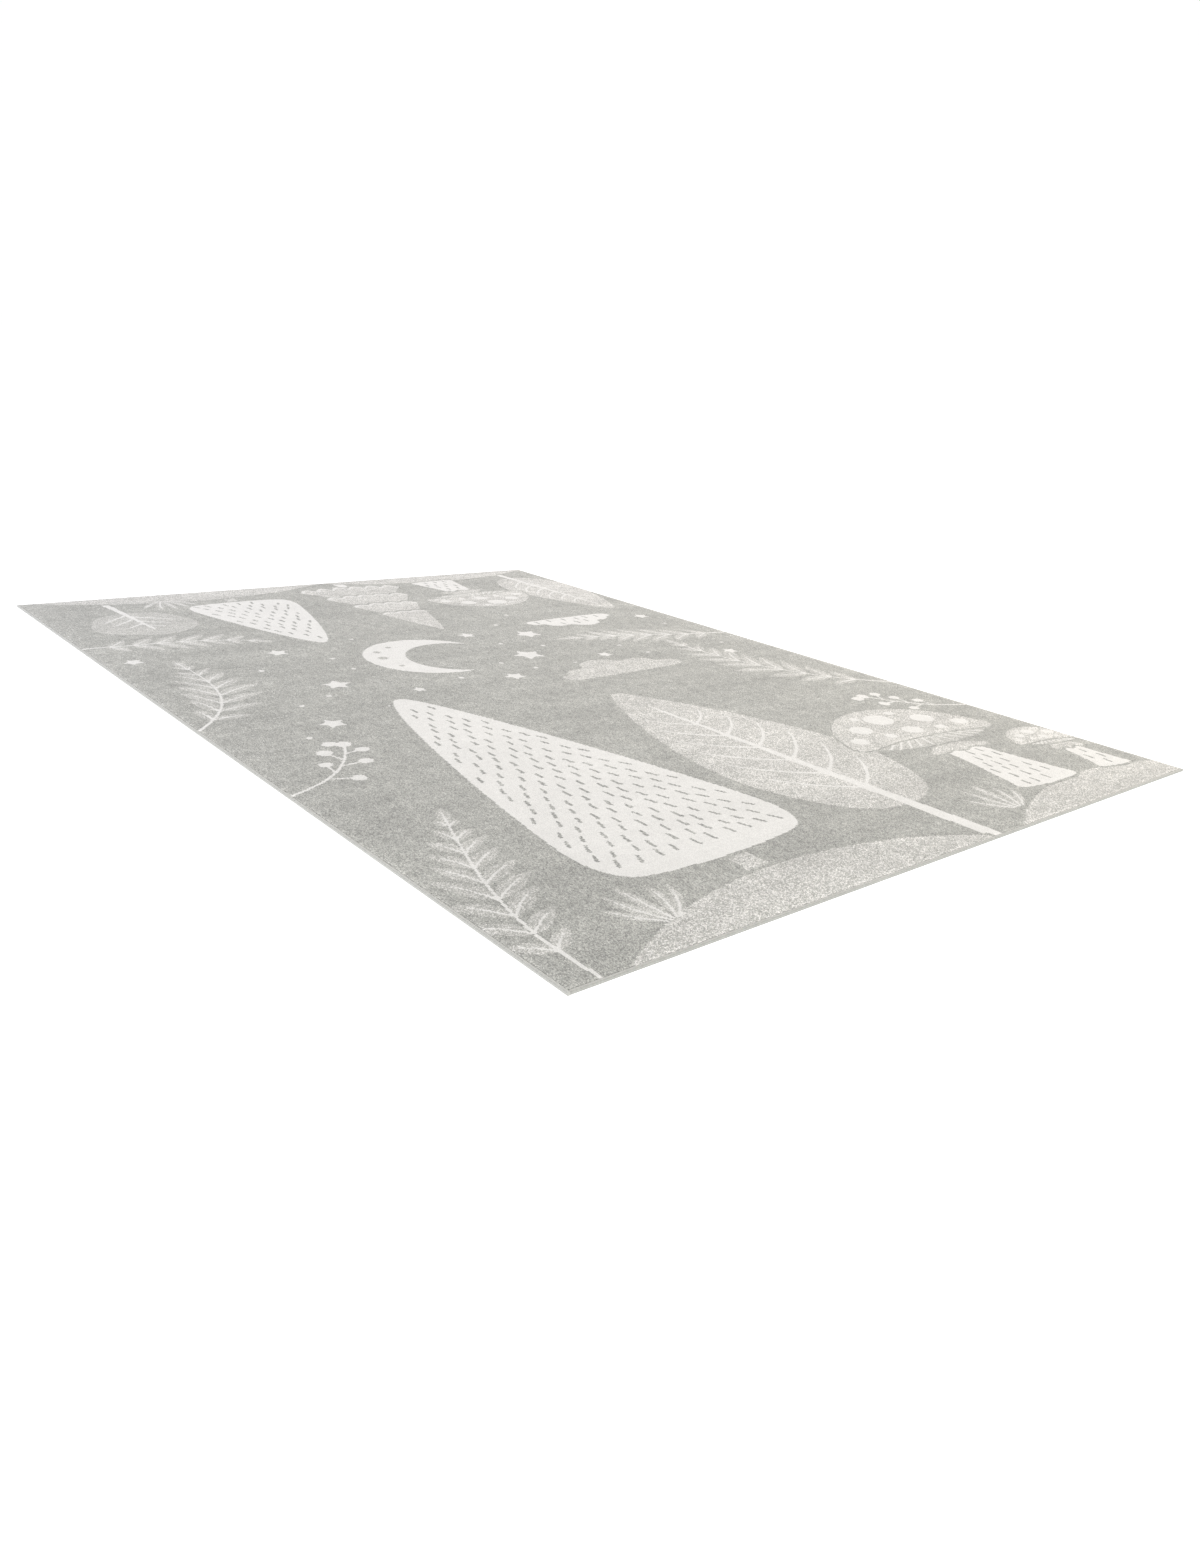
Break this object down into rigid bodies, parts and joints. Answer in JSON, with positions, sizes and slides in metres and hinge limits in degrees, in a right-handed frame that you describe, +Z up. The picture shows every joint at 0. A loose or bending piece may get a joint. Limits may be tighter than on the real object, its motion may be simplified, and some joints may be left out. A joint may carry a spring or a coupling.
{
  "type": "kids rug",
  "caption": "Flat rectangular short-pile rug for a child's room, with a woven body and overcast yarn edges on all sides, lying flat on the floor.",
  "frame": {"origin": "middle of the rug's underside, on the floor", "axes": "+X across the rug, +Y along its length, +Z up out of the pile"},
  "size_m": [1.6, 2.3, 0.007],
  "materials": {
    "pile": "cut pile of heat-set polypropylene yarn, grey ground with cream, speckled and half-tone figures",
    "overcast_yarn": "grey yarn wrapped closely over the edge"
  },
  "bodies": {
    "root": {"woven_body": "pile", "edge_long_left": "overcast_yarn", "edge_long_right": "overcast_yarn", "edge_short_front": "overcast_yarn", "edge_short_back": "overcast_yarn"}
  },
  "joints": []
}
